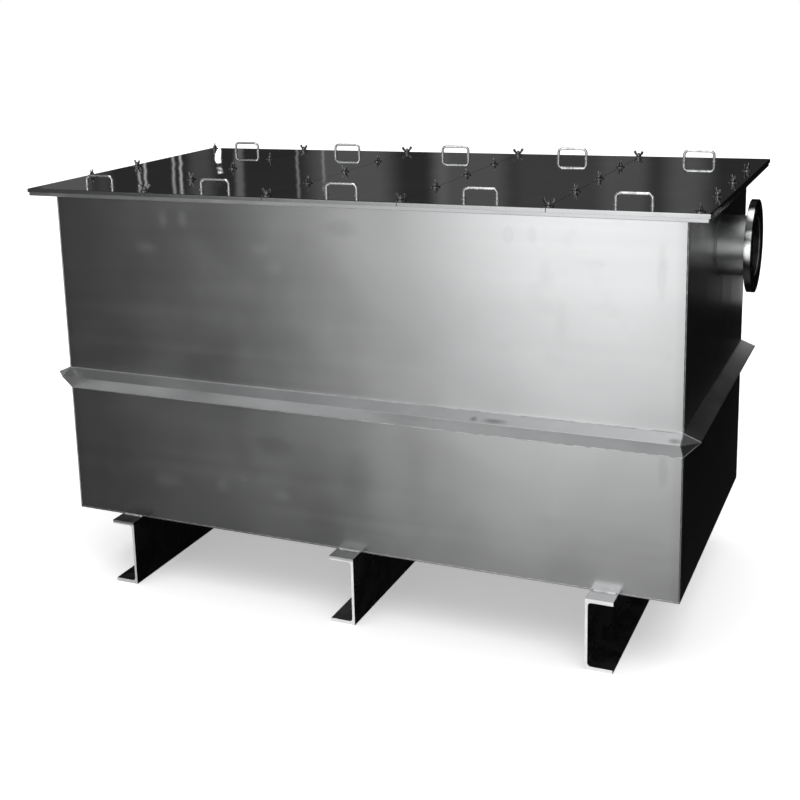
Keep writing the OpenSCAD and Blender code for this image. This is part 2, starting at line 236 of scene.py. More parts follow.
class FastenerSizes(bpy.types.PropertyGroup):
    """Sizes of the wing nuts and studs."""

    thread_pitch: length_setting("Thread pitch", "Pitch of the stud thread", 0.0005, 0.0015)
    wing_thickness: length_setting("Wing thickness", "Thickness of a wing at its root", 0.002, 0.0054)
    round_edge: length_setting("Edge radius", "Radius of the forged edges of the wings", 0.0002, 0.0013)
    facets: IntProperty(
        name="Facets", description="Number of steps round a hub or stud", min=8, max=64, default=24
    )


class StudioSetup(bpy.types.PropertyGroup):
    """Floor, light and camera."""

    floor_colour: colour_setting("Floor colour", "Colour of the plain floor", (0.93, 0.93, 0.93))
    floor_light: strength_setting("Floor light", "Strength of the overhead light on the floor", 1.5)
    floor_glow: strength_setting(
        "Floor glow", "Light that the floor gives off by itself, which softens the shadow", 0.45
    )
    rear_light: strength_setting("Rear light", "Watts of the small light behind the outlet end", 0.02)
    room_light: strength_setting("Room light", "Even light from all round on the floor", 0.5)
    dark_surround: strength_setting("Dark surround", "Brightness of the unlit parts of the studio", 0.004)
    lens: FloatProperty(
        name="Lens", description="Focal length of the camera in millimetres", min=10.0, default=57.699
    )


def settings():
    """Returns the scene's own settings, one property group for each subject."""
    scene = bpy.context.scene
    return scene.tank_finish, scene.weld_sizes, scene.fastener_sizes, scene.studio_setup


def corner(name):
    """Returns the lowest and highest corner of a CAD node as vectors."""
    low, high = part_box(name)
    return Vector(low), Vector(high)


# ---- materials ----


def connect(tree, node, inputs):
    """Sets or links the inputs of a node."""
    for key, value in inputs.items():
        if isinstance(value, bpy.types.NodeSocket):
            tree.links.new(value, node.inputs[key])
        else:
            node.inputs[key].default_value = value


def add_node(tree, kind, inputs=None, **fields):
    """Adds one node, sets its fields, and sets or links its inputs."""
    node = tree.nodes.new(kind)
    for key, value in fields.items():
        setattr(node, key, value)
    connect(tree, node, inputs or {})
    return node


def calculate(tree, operation, *values):
    """Adds a Math node and returns its output."""
    return add_node(tree, "ShaderNodeMath", dict(enumerate(values)), operation=operation).outputs[0]


def vector_step(tree, operation, *values):
    """Adds a Vector Math node and returns its output, a plain value for a length or dot product."""
    node = add_node(tree, "ShaderNodeVectorMath", dict(enumerate(values)), operation=operation)
    return node.outputs["Value" if operation in ("LENGTH", "DOT_PRODUCT") else "Vector"]


def split(tree, vector):
    """Returns the X, Y and Z of a vector."""
    return add_node(tree, "ShaderNodeSeparateXYZ", {0: vector}).outputs


def soft_range(tree, value, low, high, to_low=0.0, to_high=1.0):
    """Maps a value smoothly from one range onto another."""
    inputs = {"Value": value, "From Min": low, "From Max": high, "To Min": to_low, "To Max": to_high}
    return add_node(tree, "ShaderNodeMapRange", inputs, interpolation_type="SMOOTHSTEP").outputs[0]


def noise(tree, place, scale, detail, distortion=0.0):
    """Adds a Noise Texture node and returns its value."""
    inputs = {"Vector": place, "Scale": scale, "Detail": detail, "Distortion": distortion}
    return add_node(tree, "ShaderNodeTexNoise", inputs).outputs["Fac"]


def new_group(name, inputs, outputs):
    """Starts a shader node group and returns it with its input sockets and its output node."""
    group = bpy.data.node_groups.new(name, "ShaderNodeTree")
    for side, sockets in (("INPUT", inputs), ("OUTPUT", outputs)):
        for label, default in sockets.items():
            # A default value of three numbers asks for a vector socket.
            kind = "NodeSocketVector" if isinstance(default, tuple) else "NodeSocketFloat"
            socket = group.interface.new_socket(name=label, in_out=side, socket_type=kind)
            socket.default_value = default
    return group, group.nodes.new("NodeGroupInput").outputs, group.nodes.new("NodeGroupOutput")


def use_group(tree, name, inputs):
    """Places a shader node group in a tree."""
    return add_node(tree, "ShaderNodeGroup", inputs, node_tree=bpy.data.node_groups[name])


def grain_lines(tree, place, stretch):
    """Places the brushed grain and returns its height and its streaks."""
    node = use_group(tree, "Brushed grain", {"Vector": place, "Stretch": stretch})
    return node.outputs["Height"], node.outputs["Streaks"]


def blotches(tree, place, scale, low, high):
    """Places soft blotches and returns their mask."""
    inputs = {"Vector": place, "Scale": scale, "Low": low, "High": high}
    return use_group(tree, "Soft blotches", inputs).outputs["Mask"]


def hand_mark(tree, place, centre, size, strength):
    """Places one hand mark and returns its mask."""
    inputs = {"Vector": place, "Centre": centre, "Size": size, "Strength": strength}
    return use_group(tree, "Hand mark", inputs).outputs["Mask"]


def worn_edge(tree, radius):
    """Places a worn edge and returns its mask and its normal."""
    node = use_group(tree, "Worn edge", {"Radius": radius})
    return node.outputs["Mask"], node.outputs["Normal"]


def make_brushed_grain():
    """Fine parallel lines. Stretch is the number of noise cells for a metre along each axis."""
    group, inside, outside = new_group(
        "Brushed grain", {"Vector": ORIGIN, "Stretch": (2, 2, 600)}, {"Height": 0.0, "Streaks": 0.0}
    )
    fine = vector_step(group, "MULTIPLY", inside["Vector"], inside["Stretch"])
    coarse = vector_step(group, "MULTIPLY", fine, (0.4, 0.4, 0.06))
    height = noise(group, fine, 1.0, 3.0)
    connect(group, outside, {"Height": height, "Streaks": noise(group, coarse, 1.0, 4.0)})


def make_soft_blotches():
    """Large uneven patches left by rolling, pickling and handling."""
    inputs = {"Vector": ORIGIN, "Scale": 2.0, "Low": 0.35, "High": 0.65}
    group, inside, outside = new_group("Soft blotches", inputs, {"Mask": 0.0})
    clouds = noise(group, inside["Vector"], inside["Scale"], 3.0, 0.4)
    connect(group, outside, {"Mask": soft_range(group, clouds, inside["Low"], inside["High"])})


def make_hand_mark():
    """One soft patch at a given place, broken up by fine noise."""
    inputs = {"Vector": ORIGIN, "Centre": ORIGIN, "Size": (0.05, 0.05, 0.05), "Strength": 1.0}
    group, inside, outside = new_group("Hand mark", inputs, {"Mask": 0.0})
    away = vector_step(group, "SUBTRACT", inside["Vector"], inside["Centre"])
    scaled = vector_step(group, "DIVIDE", away, inside["Size"])
    distance = vector_step(group, "LENGTH", scaled)
    ragged = calculate(group, "MULTIPLY_ADD", noise(group, inside["Vector"], 24.0, 2.0), 0.5, distance)
    mask = soft_range(group, ragged, 0.3, 1.5, 1.0, 0.0)
    connect(group, outside, {"Mask": calculate(group, "MULTIPLY", mask, inside["Strength"])})


def make_worn_edge():
    """Rounds the edges that the sheet has in reality and tells where they are."""
    group, inside, outside = new_group("Worn edge", {"Radius": 0.001}, {"Mask": 0.0, "Normal": ORIGIN})
    rounded = add_node(group, "ShaderNodeBevel", {"Radius": inside["Radius"]}, samples=4).outputs["Normal"]
    flat = add_node(group, "ShaderNodeNewGeometry").outputs["Normal"]
    likeness = vector_step(group, "DOT_PRODUCT", rounded, flat)
    connect(group, outside, {"Mask": soft_range(group, likeness, 0.995, 0.85), "Normal": rounded})


def make_turned_rings():
    """Rings round an axis along X, as a lathe leaves them, and the distance from that axis."""
    inputs = {"Vector": ORIGIN, "Centre": ORIGIN, "Rings": 900.0}
    group, inside, outside = new_group("Turned rings", inputs, {"Height": 0.0, "Radius": 0.0})
    away = vector_step(group, "SUBTRACT", inside["Vector"], inside["Centre"])
    flat = vector_step(group, "MULTIPLY", away, (0.0, 1.0, 1.0))
    radius = vector_step(group, "LENGTH", flat)
    travel = calculate(group, "ADD", radius, split(group, away)["X"])
    wave = {"W": calculate(group, "MULTIPLY", travel, inside["Rings"]), "Scale": 1.0, "Detail": 2.0}
    rings = add_node(group, "ShaderNodeTexNoise", wave, noise_dimensions="1D")
    connect(group, outside, {"Height": rings.outputs["Fac"], "Radius": radius})


def make_softbox():
    """One soft rectangular light in the surroundings, seen in a direction."""
    inputs = {
        "Azimuth": 0.0,
        "Elevation": 0.0,
        "Centre": ORIGIN,
        "Half size": (0.3, 0.3, 0.1),
        "Strength": 1.0,
    }
    group, inside, outside = new_group("Softbox", inputs, {"Light": 0.0})
    centre = split(group, inside["Centre"])
    half = split(group, inside["Half size"])
    turn = calculate(group, "SUBTRACT", inside["Azimuth"], centre["X"])
    turn = calculate(group, "ABSOLUTE", calculate(group, "WRAP", turn, pi, -pi))
    rise = calculate(group, "ABSOLUTE", calculate(group, "SUBTRACT", inside["Elevation"], centre["Y"]))
    light = inside["Strength"]
    for offset, reach in ((turn, half["X"]), (rise, half["Y"])):
        inner = calculate(group, "SUBTRACT", reach, half["Z"])
        outer = calculate(group, "ADD", reach, half["Z"])
        light = calculate(group, "MULTIPLY", soft_range(group, offset, inner, outer, 1.0, 0.0), light)
    connect(group, outside, {"Light": light})


def new_finish(name):
    """Starts a material and returns it with its tree, shader and object coordinates."""
    material = bpy.data.materials.new(name)
    material.use_nodes = True
    tree = material.node_tree
    tree.nodes.clear()
    shader = add_node(tree, "ShaderNodeBsdfPrincipled")
    add_node(tree, "ShaderNodeOutputMaterial", {"Surface": shader.outputs[0]})
    return material, tree, shader, add_node(tree, "ShaderNodeTexCoord").outputs["Object"]


def shade(colour, factor):
    """Returns a colour made lighter or darker, with full alpha."""
    return (*(min(1.0, channel * factor) for channel in colour), 1.0)


def mixed_colour(tree, mask, first, second):
    """Mixes two colours by a mask."""
    return add_node(tree, "ShaderNodeMix", {0: mask, 6: first, 7: second}, data_type="RGBA").outputs[2]


def facing(tree, axis):
    """Returns how squarely the surface faces along an axis, either way."""
    normal = add_node(tree, "ShaderNodeNewGeometry").outputs["Normal"]
    return calculate(tree, "ABSOLUTE", split(tree, normal)[axis])


def total(tree, start, *terms):
    """Adds weighted masks to a starting value: each term is a socket and its weight."""
    value = start
    for socket, weight in terms:
        value = calculate(tree, "MULTIPLY_ADD", socket, weight, value)
    return value


def bumped(tree, height, distance, normal=None):
    """Adds a Bump node and returns its normal."""
    inputs = {"Height": height, "Distance": distance, "Strength": 1.0}
    if normal is not None:
        inputs["Normal"] = normal
    return add_node(tree, "ShaderNodeBump", inputs).outputs["Normal"]


def metal(tree, shader, colour, roughness, normal):
    """Connects the parts that every bare metal finish has."""
    connect(tree, shader, {"Metallic": 1.0, "Base Color": colour, "Roughness": roughness, "Normal": normal})


def make_tank_sheet(finish):
    """Brushed sheet with blotches, hand marks, and a slightly darker colour over the end walls and near
    them.
    """
    material, tree, shader, place = new_finish("tank_sheet_finish")
    sheet = finish.sheet_colour
    lines, streaks = grain_lines(tree, place, (1.5, 1.5, 520.0))
    clouds = blotches(tree, place, 2.2, 0.34, 0.68)
    patches = blotches(tree, place, 9.0, 0.58, 0.74)
    marks = 0.0
    front = corner("front_wall")[0].y
    for x, z, width, height, strength in FRONT_MARKS:
        mark = hand_mark(tree, place, (x, front, z), (width, 0.02, height), strength)
        marks = calculate(tree, "ADD", mark, marks)
    # Darker in colour over both end walls and within 45 mm of them on the front and rear walls.
    along = calculate(tree, "ABSOLUTE", split(tree, place)["X"])
    end_gap = calculate(tree, "SUBTRACT", corner("outlet_end_wall")[1].x, along)
    darker_ends = calculate(tree, "MULTIPLY", soft_range(tree, end_gap, 0.045, 0.004), 0.18)
    combed = vector_step(tree, "MULTIPLY", place, (0.0, 22.0, 0.7))
    uprights = calculate(tree, "MULTIPLY", noise(tree, combed, 1.0, 2.0), facing(tree, "X"))
    lightness = total(tree, 0.1, (clouds, 0.35), (streaks, 0.15), (marks, 0.5))
    colour = mixed_colour(tree, lightness, shade(sheet, 0.88), shade(sheet, 1.12))
    colour = mixed_colour(tree, darker_ends, colour, shade(sheet, 0.45))
    soiling = ((streaks, 0.05), (clouds, 0.03), (patches, 0.015), (marks, 0.012), (uprights, 0.2))
    roughness = total(tree, finish.sheet_roughness - 0.04, *soiling)
    wavy = bumped(tree, noise(tree, place, 1.6, 1.0), 0.004)
    metal(tree, shader, colour, roughness, bumped(tree, lines, finish.grain_height, wavy))
    tangent = add_node(tree, "ShaderNodeTangent", direction_type="RADIAL", axis="Z").outputs[0]
    connect(tree, shader, {"Anisotropic": 0.45, "Anisotropic Rotation": 0.25, "Tangent": tangent})
    return material


def make_folded_trim(finish):
    """Brushed rim, bearers and stiffener, with bright rubbed edges and darker dressed joints."""
    material, tree, shader, place = new_finish("folded_trim_finish")
    sheet = finish.sheet_colour
    lines, streaks = grain_lines(tree, place, (2.0, 2.0, 480.0))
    patches = blotches(tree, place, 6.0, 0.42, 0.66)
    rubbed, rounded = worn_edge(tree, 0.004)
    lightness = total(tree, 0.0, (patches, 0.45), (rubbed, 0.3))
    clean = mixed_colour(tree, lightness, shade(sheet, 0.96), shade(sheet, 1.12))
    low, high = corner("stiffener_front")
    tint = 0.0
    for start, end in JOINT_SCARS:
        spot = ((start + end) / 2, low.y * 0.7 + high.y * 0.3, JOINT_SCAR_HEIGHT)
        mark = hand_mark(tree, place, spot, ((end - start) * 0.7, 0.018, 0.009), 0.7)
        tint = calculate(tree, "ADD", mark, tint)
    colour = mixed_colour(tree, tint, clean, shade(sheet, 0.35))
    roughness = total(tree, finish.sheet_roughness + 0.02, (streaks, 0.08), (patches, 0.05))
    metal(tree, shader, colour, roughness, bumped(tree, lines, finish.grain_height, rounded))
    return material


def make_cover_plate(finish):
    """Polished plate, a little wavy, with wiped patches and fine scratches."""
    material, tree, shader, place = new_finish("cover_plate_finish")
    scratches, streaks = grain_lines(tree, place, (900.0, 6.0, 6.0))
    wiped = blotches(tree, place, 4.5, 0.50, 0.72)
    specks = blotches(tree, place, 38.0, 0.66, 0.76)
    rubbed, rounded = worn_edge(tree, 0.0012)
    lightness = total(tree, 0.0, (wiped, 0.5), (rubbed, 0.5))
    plate = finish.cover_colour
    colour = mixed_colour(tree, lightness, shade(plate, 0.92), shade(plate, 1.22))
    upright = soft_range(tree, facing(tree, "Z"), 0.7, 0.3)
    soiling = ((wiped, 0.018), (specks, 0.018), (streaks, 0.01), (upright, 0.2))
    roughness = total(tree, finish.cover_roughness, *soiling)
    wavy = bumped(tree, noise(tree, place, 3.0, 1.0), 0.0012, rounded)
    metal(tree, shader, colour, roughness, bumped(tree, scratches, 0.00001, wavy))
    return material


def make_channel_steel(finish):
    """Pickled rolled channel with lighter saw-cut ends, and painted shade on the top flanges of the
    inlet-end and middle feet and over the inlet-end foot.
    """
    material, tree, shader, place = new_finish("channel_steel_finish")
    sheet = finish.sheet_colour
    mill = grain_lines(tree, place, (160.0, 4.0, 160.0))[0]
    saw = grain_lines(tree, place, (900.0, 900.0, 30.0))[0]
    pickled = blotches(tree, place, 11.0, 0.38, 0.62)
    speckle = noise(tree, place, 240.0, 3.0)
    rubbed, rounded = worn_edge(tree, 0.002)
    cut = soft_range(tree, facing(tree, "Y"), 0.9, 0.97)
    lightness = total(tree, 0.0, (pickled, 0.2), (cut, 0.8), (rubbed, 0.3))
    clean = mixed_colour(tree, lightness, shade(sheet, 0.7), shade(sheet, 1.5))
    # Painted shade: the top flanges of the inlet-end and middle feet, under the tank, and the whole
    # inlet-end foot are mixed towards a dark colour.
    spot = split(tree, place)
    top = corner("foot_middle")[1].z
    upper = soft_range(tree, spot["Z"], top - 0.014, top - 0.005)
    shade_under_tank = calculate(tree, "MULTIPLY", upper, soft_range(tree, spot["X"], 0.7, 0.3))
    painted_shade = total(tree, 0.0, (shade_under_tank, 0.62), (soft_range(tree, spot["X"], -0.5, -0.8), 0.45))
    colour = mixed_colour(tree, painted_shade, clean, shade(sheet, 0.22))
    roughness = total(tree, 0.24, (pickled, 0.08), (cut, 0.35))
    height = total(tree, 0.0, (mill, 0.5), (speckle, 0.4), (saw, 0.4))
    metal(tree, shader, colour, roughness, bumped(tree, height, 0.00008, rounded))
    connect(tree, shader, {"Metallic": total(tree, 1.0, (cut, -0.8))})
    return material


def make_turned(name, finish, tone, roughness_start, rings, bore_radius, rubbed=()):
    """Metal finished round the pipe axis, darker inside the bore, with painted highlights at any listed
    spots: tubes and flanges.
    """
    material, tree, shader, place = new_finish(name)
    sheet = finish.sheet_colour
    low, high = corner("outlet_flange")
    centre = Vector((high.x, 0.0, (low.z + high.z) / 2))
    turned = use_group(tree, "Turned rings", {"Vector": place, "Centre": centre, "Rings": rings})
    pickled = blotches(tree, place, 14.0, 0.40, 0.66)
    worn, rounded = worn_edge(tree, 0.0015)
    lightness = total(tree, 0.0, (pickled, 0.5), (worn, 0.6))
    colour = mixed_colour(tree, lightness, shade(sheet, tone), shade(sheet, tone * 1.25))
    # Painted highlights: at each listed spot the rim's colour is mixed towards near white, where the rim
    # would catch light.
    for ahead, above, size in rubbed:
        spot = centre + Vector((0.0, -ahead, above))
        painted_highlight = hand_mark(tree, place, spot, (0.03, size, size), 1.6)
        colour = mixed_colour(tree, painted_highlight, colour, shade(sheet, 1.55))
    # Darker in colour inside the bore.
    inside = calculate(tree, "LESS_THAN", turned.outputs["Radius"], bore_radius)
    colour = mixed_colour(tree, inside, colour, shade(sheet, 0.12))
    roughness = total(tree, roughness_start, (pickled, 0.08), (turned.outputs["Height"], 0.06))
    metal(tree, shader, colour, roughness, bumped(tree, turned.outputs["Height"], 0.00005, rounded))
    return material


def make_bright_bar(name, base, roughness_start, dirt_scale):
    """Bright drawn bar and forged fasteners with dulled patches."""
    material, tree, shader, place = new_finish(name)
    dull = blotches(tree, place, dirt_scale, 0.45, 0.65)
    fine = noise(tree, place, 700.0, 2.0)
    colour = mixed_colour(tree, dull, shade(base, 1.08), shade(base, 0.8))
    roughness = total(tree, roughness_start, (dull, 0.1), (fine, 0.05))
    metal(tree, shader, colour, roughness, bumped(tree, fine, 0.00003))
    return material


def make_weld_metal(finish):
    """Brushed weld metal, a little uneven in tone."""
    material, tree, shader, place = new_finish("weld_finish")
    tint = blotches(tree, place, 26.0, 0.40, 0.62)
    fine = noise(tree, place, 420.0, 3.0)
    colour = mixed_colour(tree, tint, shade(finish.sheet_colour, 1.12), shade(finish.sheet_colour, 0.92))
    roughness = total(tree, 0.34, (tint, 0.1), (fine, 0.06))
    metal(tree, shader, colour, roughness, bumped(tree, fine, 0.00008))
    return material


def make_gasket_rubber(finish):
    """Matt black rubber with dust."""
    material, tree, shader, place = new_finish("gasket_rubber_finish")
    dust = blotches(tree, place, 30.0, 0.45, 0.7)
    fine = noise(tree, place, 900.0, 2.0)
    colour = mixed_colour(tree, dust, shade(finish.gasket_colour, 1.0), shade(finish.gasket_colour, 2.2))
    roughness = total(tree, 0.6, (dust, 0.25))
    normal = bumped(tree, fine, 0.00006)
    connect(tree, shader, {"Base Color": colour, "Roughness": roughness, "Normal": normal})
    return material


# ---- pieces ----


def finished_mesh(bm, name):
    """Turns a bmesh into a mesh and frees it."""
    mesh = bpy.data.meshes.new(name)
    bm.to_mesh(mesh)
    bm.free()
    return mesh


def add_object(name, data):
    """Puts a new object in the scene."""
    item = bpy.data.objects.new(name, data)
    bpy.context.scene.collection.objects.link(item)
    return item


def new_piece(name, bm, material_name, replaced=(), sharp_angle=35.0):
    """Turns a bmesh into a finished object that rides on the tank."""
    bmesh.ops.recalc_face_normals(bm, faces=bm.faces)
    mesh = finished_mesh(bm, name)
    mesh.shade_smooth()
    mesh.set_sharp_from_angle(angle=radians(sharp_angle))
    mesh.materials.append(bpy.data.materials[material_name])
    piece = add_object(name, mesh)
    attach(piece, BODY)
    if replaced:
        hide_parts(*replaced)


def add_shape(bm, shape, matrix=None):
    """Adds a finished shape to a larger one and frees it."""
    if matrix is not None:
        bmesh.ops.transform(shape, matrix=matrix, verts=shape.verts)
    mesh = finished_mesh(shape, "shape")
    bm.from_mesh(mesh)
    bpy.data.meshes.remove(mesh)


def roll_tube(target, steps, sides, place):
    """Rolls a grid into a tube. Place gives the point for a share of the length and an angle round it."""
    bm = bmesh.new()
    bmesh.ops.create_grid(bm, x_segments=steps, y_segments=sides, size=0.5)
    for vert in bm.verts:
        vert.co = place(vert.co.x + 0.5, (vert.co.y + 0.5) * tau)
    bmesh.ops.remove_doubles(bm, verts=bm.verts, dist=MERGE_DISTANCE)
    bmesh.ops.holes_fill(bm, edges=[edge for edge in bm.edges if edge.is_boundary], sides=0)
    add_shape(target, bm)


def lay_bead(target, start, end, radius, ripple):
    """Lays a straight rippled weld bead, rounded off at both ends."""
    start, end = Vector(start), Vector(end)
    run = end - start
    out = run.orthogonal().normalized()
    across = run.normalized().cross(out)

    def place(share, angle):
        travel = share * run.length
        wave = 1.0 + RIPPLE_SHARE * sin(tau * travel / ripple) + 0.04 * sin(tau * travel / (ripple * 5.3))
        rounding = min(1.0, 0.35 + min(travel, run.length - travel) / radius * 0.65)
        return start + run * share + (out * cos(angle) + across * sin(angle)) * radius * wave * rounding

    roll_tube(target, max(6, round(run.length / ripple * 3)), BEAD_SIDES, place)


def lay_ring_bead(target, centre, axis, ring_radius, radius, ripple):
    """Lays a rippled weld bead round a pipe or bar."""
    centre, axis = Vector(centre), Vector(axis)
    out = axis.orthogonal().normalized()
    across = axis.cross(out)
    ripples = max(8, round(tau * ring_radius / ripple))

    def place(share, angle):
        radial = out * cos(tau * share) + across * sin(tau * share)
        wave = 1.0 + RIPPLE_SHARE * sin(tau * share * ripples)
        return centre + radial * ring_radius + (radial * cos(angle) + axis * sin(angle)) * radius * wave

    roll_tube(target, ripples * 3, BEAD_SIDES, place)


def up(height):
    """Returns a vector that leads straight up."""
    return Vector((0, 0, height))


def tank_corners(inset):
    """Returns the four plan corners of the tank body, moved inwards."""
    low, high = corner("front_wall")[0], corner("rear_wall")[1]
    return [
        Vector((x - inset * (1 if x > 0 else -1), y - inset * (1 if y > 0 else -1), 0.0))
        for x, y in ((low.x, low.y), (high.x, low.y), (high.x, high.y), (low.x, high.y))
    ]


def lay_loop(bm, inset, height, radius, ripple):
    """Lays a bead right round the tank at one height."""
    spots = tank_corners(inset)
    for one, other in zip(spots, spots[1:] + spots[:1]):
        lay_bead(bm, one + up(height), other + up(height), radius, ripple)


def plan_points(name):
    """Returns the points of a CAD node as seen from above."""
    mesh = frame["nodes"][name].data
    points = np.empty(len(mesh.vertices) * 3)
    mesh.vertices.foreach_get("co", points)
    return points.reshape(-1, 3)[:, :2]


def cluster_centres(name):
    """Returns the plan centre of each washer-like solid in a CAD node."""
    points = plan_points(name)
    centres = []
    while len(points):
        near = np.linalg.norm(points - points[0], axis=1) < WASHER_REACH
        centres.append((points[near].min(axis=0) + points[near].max(axis=0)) / 2)
        points = points[~near]
    if not centres:
        raise RuntimeError(f"{name} holds no solids to stand the fasteners on")
    return centres


def wing_turn(centre):
    """Returns how far the CAD wing nut at a place is turned."""
    points = plan_points("wing_nuts") - centre
    points = points[np.linalg.norm(points, axis=1) < WING_REACH]
    values, vectors = np.linalg.eigh(points.T @ points)
    main = vectors[:, values.argmax()]
    return float(np.arctan2(main[1], main[0]))


def repeat_at(bm, mesh, matrices):
    """Adds one copy of a mesh at each place."""
    for matrix in matrices:
        shape = bmesh.new()
        shape.from_mesh(mesh)
        add_shape(bm, shape, matrix)


def spin_profile(bm, profile, steps, closed=True):
    """Turns a profile of radius and height about the Z axis."""
    verts = [bm.verts.new((radius, 0.0, height)) for radius, height in profile]
    pairs = zip(verts[-1:] + verts, verts) if closed else zip(verts, verts[1:])
    edges = [bm.edges.new(pair) for pair in pairs]
    bmesh.ops.spin(
        bm, geom=verts + edges, cent=ORIGIN, axis=(0, 0, 1), angle=tau, steps=steps, use_merge=True
    )


def wing_nut_mesh(sizes, height):
    """Models one forged wing nut that stands on the origin."""
    bm = bmesh.new()
    top = HUB_RADIUS * 0.87
    spin_profile(
        bm,
        (
            (NUT_BORE_RADIUS + 0.0008, 0.0),
            (HUB_RADIUS - 0.0008, 0.0),
            (HUB_RADIUS, 0.0009),
            (top, HUB_HEIGHT - 0.0015),
            (top - 0.0015, HUB_HEIGHT),
            (NUT_BORE_RADIUS + 0.0009, HUB_HEIGHT),
            (NUT_BORE_RADIUS, HUB_HEIGHT - 0.0009),
            (NUT_BORE_RADIUS, 0.0008),
        ),
        sizes.facets,
    )
    tip = Vector((WING_SPAN / 2 - WING_TIP_RADIUS, 0.0, height - WING_TIP_RADIUS))
    root = NUT_BORE_RADIUS + 0.0012
    outline = [Vector((root, 0.0, 0.0012)), Vector((HUB_RADIUS + 0.001, 0.0, 0.0012))]
    for angle in np.linspace(-0.75, 2.3, 11):
        outline.append(tip + WING_TIP_RADIUS * Vector((cos(angle), 0.0, sin(angle))))
    outline.append(Vector((HUB_RADIUS * 0.95, 0.0, HUB_HEIGHT + 0.001)))
    outline.append(Vector((root, 0.0, HUB_HEIGHT - 0.001)))
    thickness = sizes.wing_thickness
    for turn in (None, Matrix.Rotation(pi, 4, "Z")):
        wing = bmesh.new()
        face = wing.faces.new([wing.verts.new(point) for point in outline])
        raised = bmesh.ops.extrude_face_region(wing, geom=[face])["geom"]
        for vert in [item for item in raised if isinstance(item, bmesh.types.BMVert)]:
            vert.co.y += thickness
        for vert in wing.verts:
            narrowing = 1.0 - 0.38 * min(1.0, vert.co.x / (WING_SPAN / 2))
            vert.co.y = (vert.co.y - thickness / 2) * narrowing
        bmesh.ops.recalc_face_normals(wing, faces=wing.faces)
        rim = [edge for edge in wing.edges if abs(edge.verts[0].co.y - edge.verts[1].co.y) < thickness / 3]
        bmesh.ops.bevel(
            wing, geom=rim, offset=sizes.round_edge, segments=2, profile=0.5, affect="EDGES", material=-1
        )
        add_shape(bm, wing, turn)
    bmesh.ops.recalc_face_normals(bm, faces=bm.faces)
    return finished_mesh(bm, "wing_nut")


def stud_mesh(sizes, height, bare):
    """Models one stud, plain up to a height and threaded above it."""
    bm = bmesh.new()
    pitch = sizes.thread_pitch
    root = STUD_RADIUS - pitch * 0.55
    profile = [(0.0, 0.0), (STUD_RADIUS, 0.0), (STUD_RADIUS, bare)]
    for i in range(int((height - bare - 0.001) / pitch)):
        base = bare + i * pitch
        profile += [(root, base + pitch * 0.5), (STUD_RADIUS, base + pitch * 0.98)]
    profile += [(root, height), (0.0, height)]
    spin_profile(bm, profile, sizes.facets, closed=False)
    bmesh.ops.remove_doubles(bm, verts=bm.verts, dist=MERGE_DISTANCE)
    bmesh.ops.recalc_face_normals(bm, faces=bm.faces)
    return finished_mesh(bm, "stud")


# ---- operators ----


class INTERCEPTOR_OT_finishes(bpy.types.Operator):
    """Make the finishes and give each CAD node the one that its slot names"""

    bl_idname = "interceptor.finishes"
    bl_label = "Finish the CAD nodes"

    def execute(self, context):
        finish = settings()[0]
        make_brushed_grain()
        make_soft_blotches()
        make_hand_mark()
        make_worn_edge()
        make_turned_rings()
        make_softbox()
        finishes = {
            "tank_sheet": make_tank_sheet(finish),
            "folded_trim": make_folded_trim(finish),
            "cover_plate": make_cover_plate(finish),
            "channel_steel": make_channel_steel(finish),
            "pipe_steel": make_turned("pipe_steel_finish", finish, 0.9, 0.34, 700.0, PIPE_BORE_LIMIT),
            # Painted shade: the flange's colour is darkened to 0.11 of the sheet's, standing in for the
            # dark surroundings it reflects.
            "flange_steel": make_turned(
                "flange_steel_finish", finish, 0.11, 0.2, 1300.0, FLANGE_BORE_LIMIT, FLANGE_HIGHLIGHTS
            ),
            "handle_bar": make_bright_bar("handle_bar_finish", finish.bar_colour, 0.24, 60.0),
            "fastener_steel": make_bright_bar("fastener_finish", finish.fastener_colour, 0.3, 110.0),
            "gasket_rubber": make_gasket_rubber(finish),
        }
        make_weld_metal(finish)
        slots = {row["node"]: row["material_slot"] for row in frame["record"]["subparts"]}
        for name, node in frame["nodes"].items():
            if slots[name] not in finishes:
                raise RuntimeError(f"no finish is made for the slot {slots[name]}")
            for slot in node.material_slots:
                slot.material = finishes[slots[name]]
        return {"FINISHED"}


class INTERCEPTOR_OT_tank_seams(bpy.types.Operator):
    """Lay the beads on the tank's corners, base seam and rim"""

    bl_idname = "interceptor.tank_seams"
    bl_label = "Weld the tank seams"

    def execute(self, context):
        welds = settings()[1]
        low, high = corner("front_wall")
        bm = bmesh.new()
        for spot in tank_corners(CORNER_SEAM_INSET):
            lay_bead(bm, spot + up(low.z), spot + up(high.z - 0.002), welds.seam_radius, welds.ripple)
        lay_loop(bm, BASE_SEAM_INSET, low.z, welds.seam_radius * 0.6, welds.ripple)
        lay_loop(bm, RIM_SEAM_INSET, high.z, welds.fillet_radius, welds.ripple)
        new_piece("tank_seam_welds", bm, "weld_finish")

        bm = bmesh.new()
        for x in (-1, 1):
            for y in (-1, 1):
                for name, length in FOLD_BEADS:
                    low, high = corner(name)
                    reach = high - Vector((FOLD_BEAD_INSET, FOLD_BEAD_INSET, 0.0))
                    edge = Vector((x * reach.x, y * reach.y, low.z + FOLD_BEAD_LIFT))
                    lay_bead(bm, edge, edge + up(length), FOLD_BEAD_RADIUS, welds.ripple * 0.5)
        new_piece("rim_corner_welds", bm, "weld_finish")
        return {"FINISHED"}


